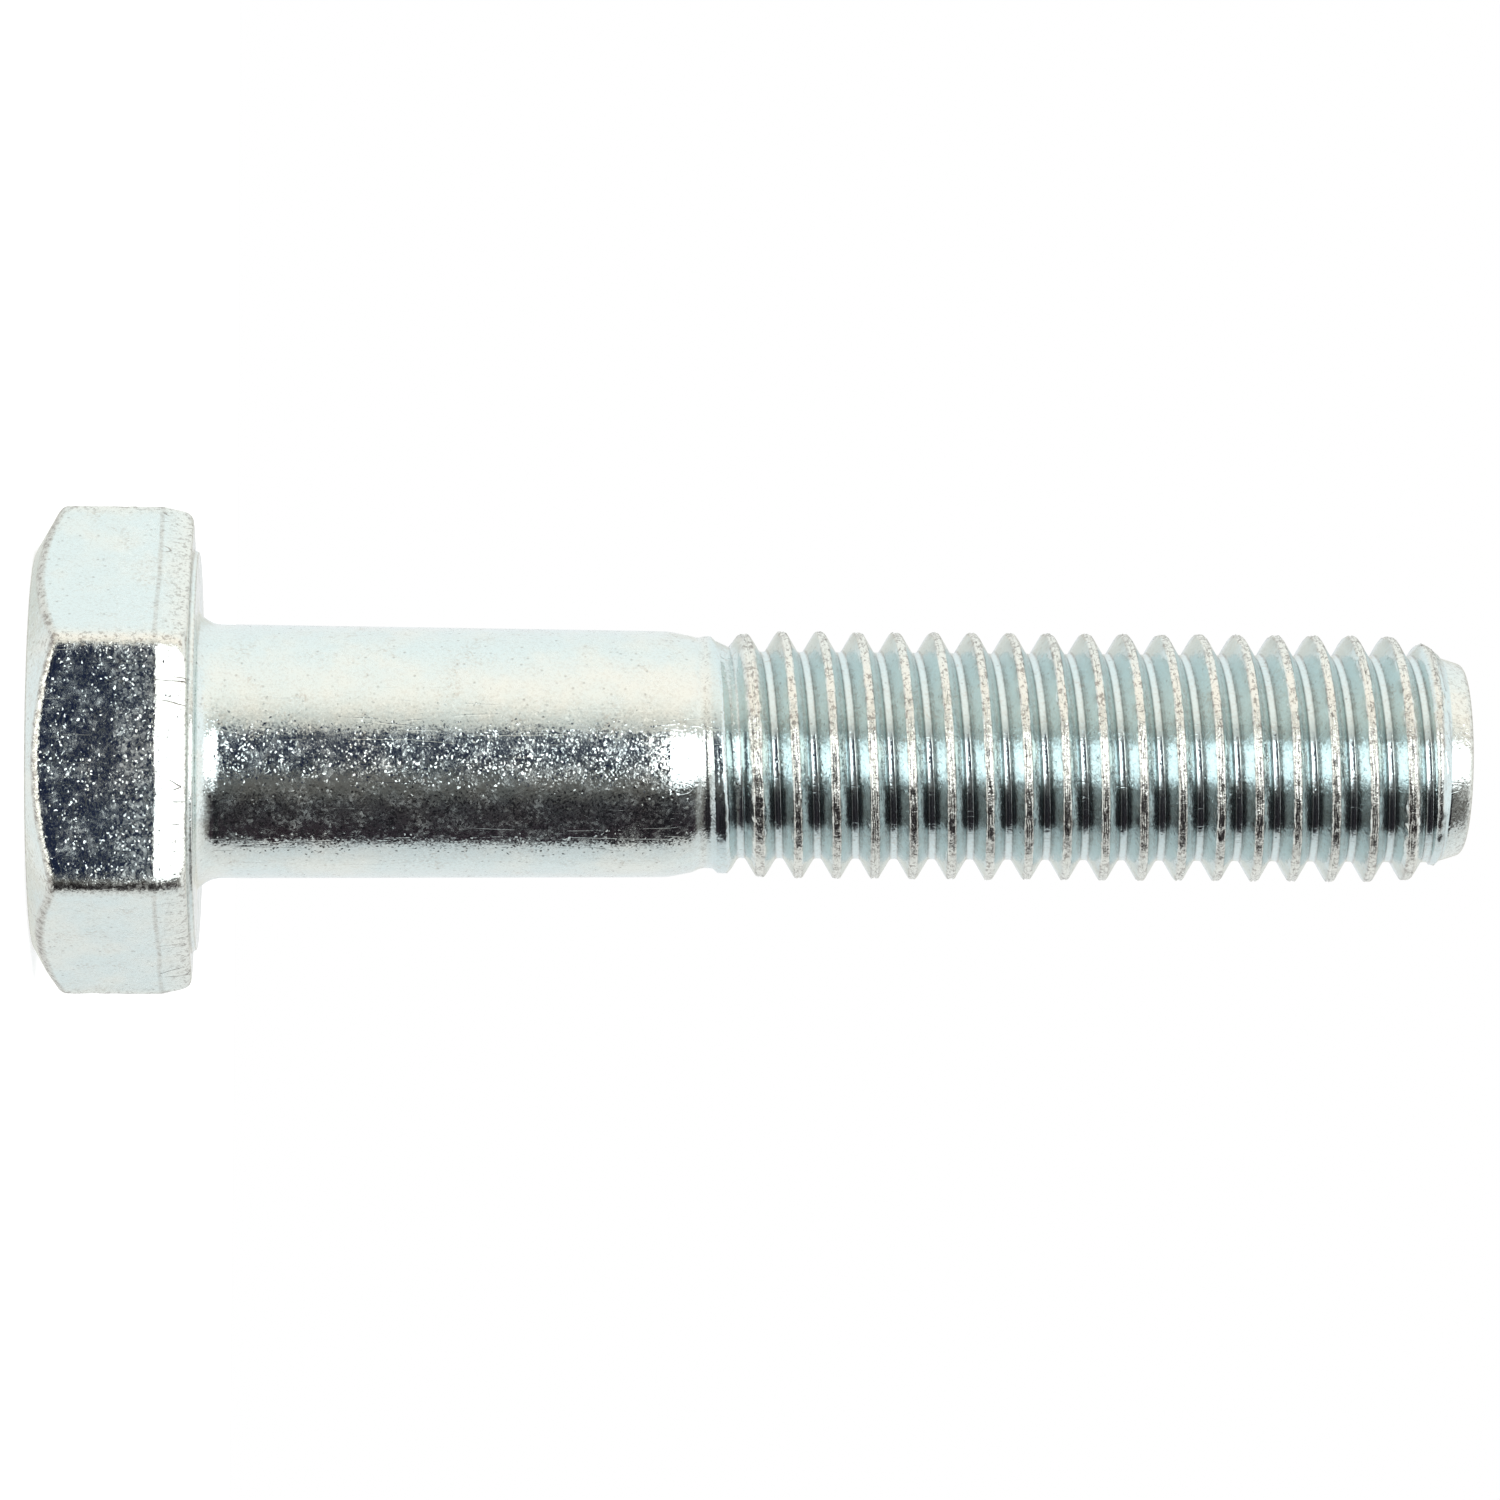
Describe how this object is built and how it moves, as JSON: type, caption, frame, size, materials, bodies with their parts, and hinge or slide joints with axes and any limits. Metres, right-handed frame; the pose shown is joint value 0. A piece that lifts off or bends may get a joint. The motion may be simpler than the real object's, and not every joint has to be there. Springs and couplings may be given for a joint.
{
  "type": "hex bolt",
  "caption": "Partly threaded metric hex bolt with a chamfered head, washer face, plain shank, coarse right-hand thread and coned tip.",
  "frame": {"origin": "centre of the head's flat top, on the plane that the bolt stands on", "axes": "+Z along the bolt's axis from the head to the tip, +Y and -Y square to one pair of wrench flats, +X through a corner of the hexagon"},
  "size_m": [0.0192, 0.0166, 0.0562],
  "materials": {
    "zinc_plated_steel": "bright zinc plate with a clear blue passivate, fine grain"
  },
  "bodies": {
    "root": {"hex_bolt": "zinc_plated_steel"}
  },
  "joints": []
}
